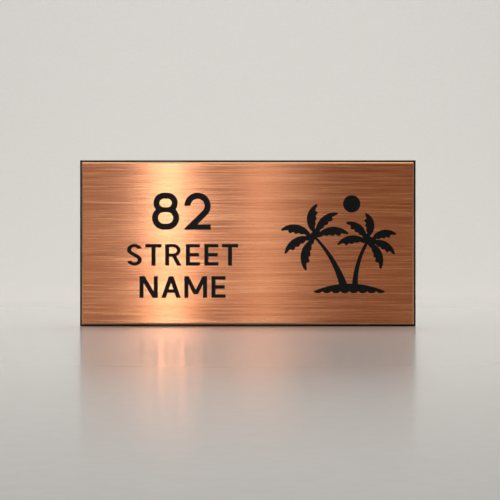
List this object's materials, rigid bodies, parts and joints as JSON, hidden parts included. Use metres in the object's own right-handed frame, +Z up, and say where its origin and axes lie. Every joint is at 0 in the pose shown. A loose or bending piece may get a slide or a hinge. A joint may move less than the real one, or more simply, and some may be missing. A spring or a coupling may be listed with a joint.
{
  "type": "house number plaque",
  "caption": "Rectangular wall plaque: brushed copper plate with engraved, enamel-filled number and palm island, on a slightly larger black panel with foam pads behind.",
  "frame": {"origin": "middle of the wall side, on the plane where the foam pads touch the wall", "axes": "+Z up, +X to the reader's right along the length, +Y into the wall, so the engraved front faces -Y"},
  "size_m": [0.2022, 0.0062, 0.1],
  "materials": {
    "brushed_copper": "brushed along the length, clear lacquered",
    "black_panel": "gloss black acrylic",
    "clear_film": "thin double-sided bonding film",
    "black_enamel": "satin black enamel filling",
    "foam": "closed-cell self-adhesive foam"
  },
  "bodies": {
    "root": {"face_plate": "brushed_copper", "backing_panel": "black_panel", "bonding_film": "clear_film", "number_enamel_eight": "black_enamel", "number_enamel_two": "black_enamel", "palms_enamel": "black_enamel", "sun_enamel": "black_enamel", "foam_pad_middle": "foam", "foam_pad_top_left": "foam", "foam_pad_top_right": "foam", "foam_pad_bottom_left": "foam", "foam_pad_bottom_right": "foam"}
  },
  "joints": []
}
